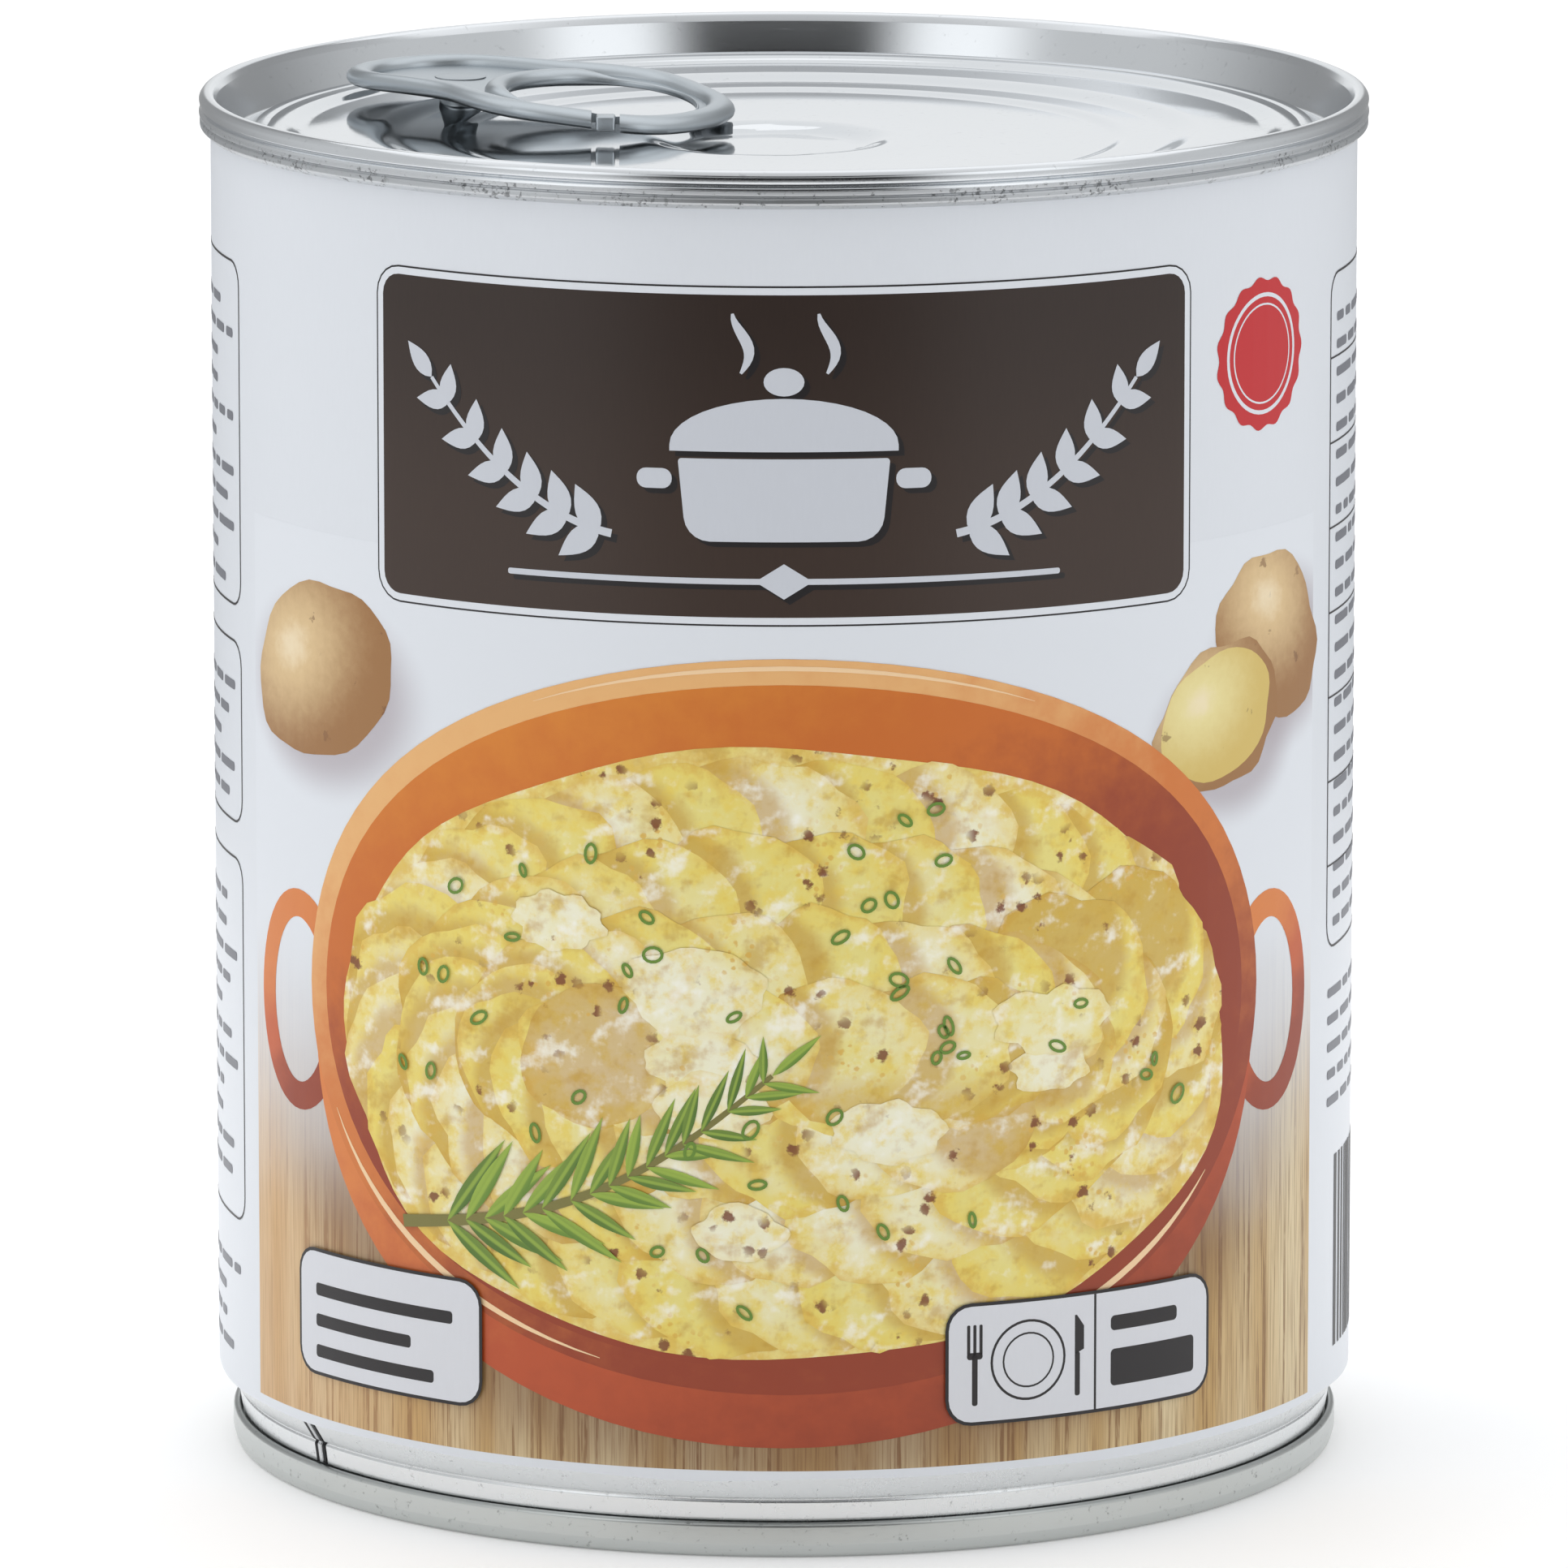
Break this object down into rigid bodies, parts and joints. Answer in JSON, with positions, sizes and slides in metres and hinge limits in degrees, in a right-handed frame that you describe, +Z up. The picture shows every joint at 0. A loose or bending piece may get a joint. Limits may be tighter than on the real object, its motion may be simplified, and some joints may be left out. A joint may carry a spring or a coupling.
{
  "type": "ring-pull food can",
  "caption": "Shut tin can for ready-made food with a paper label, a pull-open lid with a ring tab, and a beaded bottom end.",
  "frame": {"origin": "middle of the circle that the can stands on, at the lowest point of its bottom seam", "axes": "+Z up along the can's axis; the middle of the label's front faces -Y; the pull tab points from the middle of the lid towards -X and +Y"},
  "size_m": [0.101, 0.101, 0.1187],
  "materials": {
    "can_body": "bare tinplate, satin",
    "paper_label": "coated printed paper, slightly glossy",
    "lid_end": "bright tinplate, nearly mirror-like on the panel",
    "pull_tab": "satin steel",
    "bottom_end": "bare tinplate, satin"
  },
  "bodies": {
    "root": {"can_body": "can_body", "paper_label": "paper_label", "lid_end": "lid_end", "pull_tab": "pull_tab", "bottom_end": "bottom_end"}
  },
  "joints": []
}
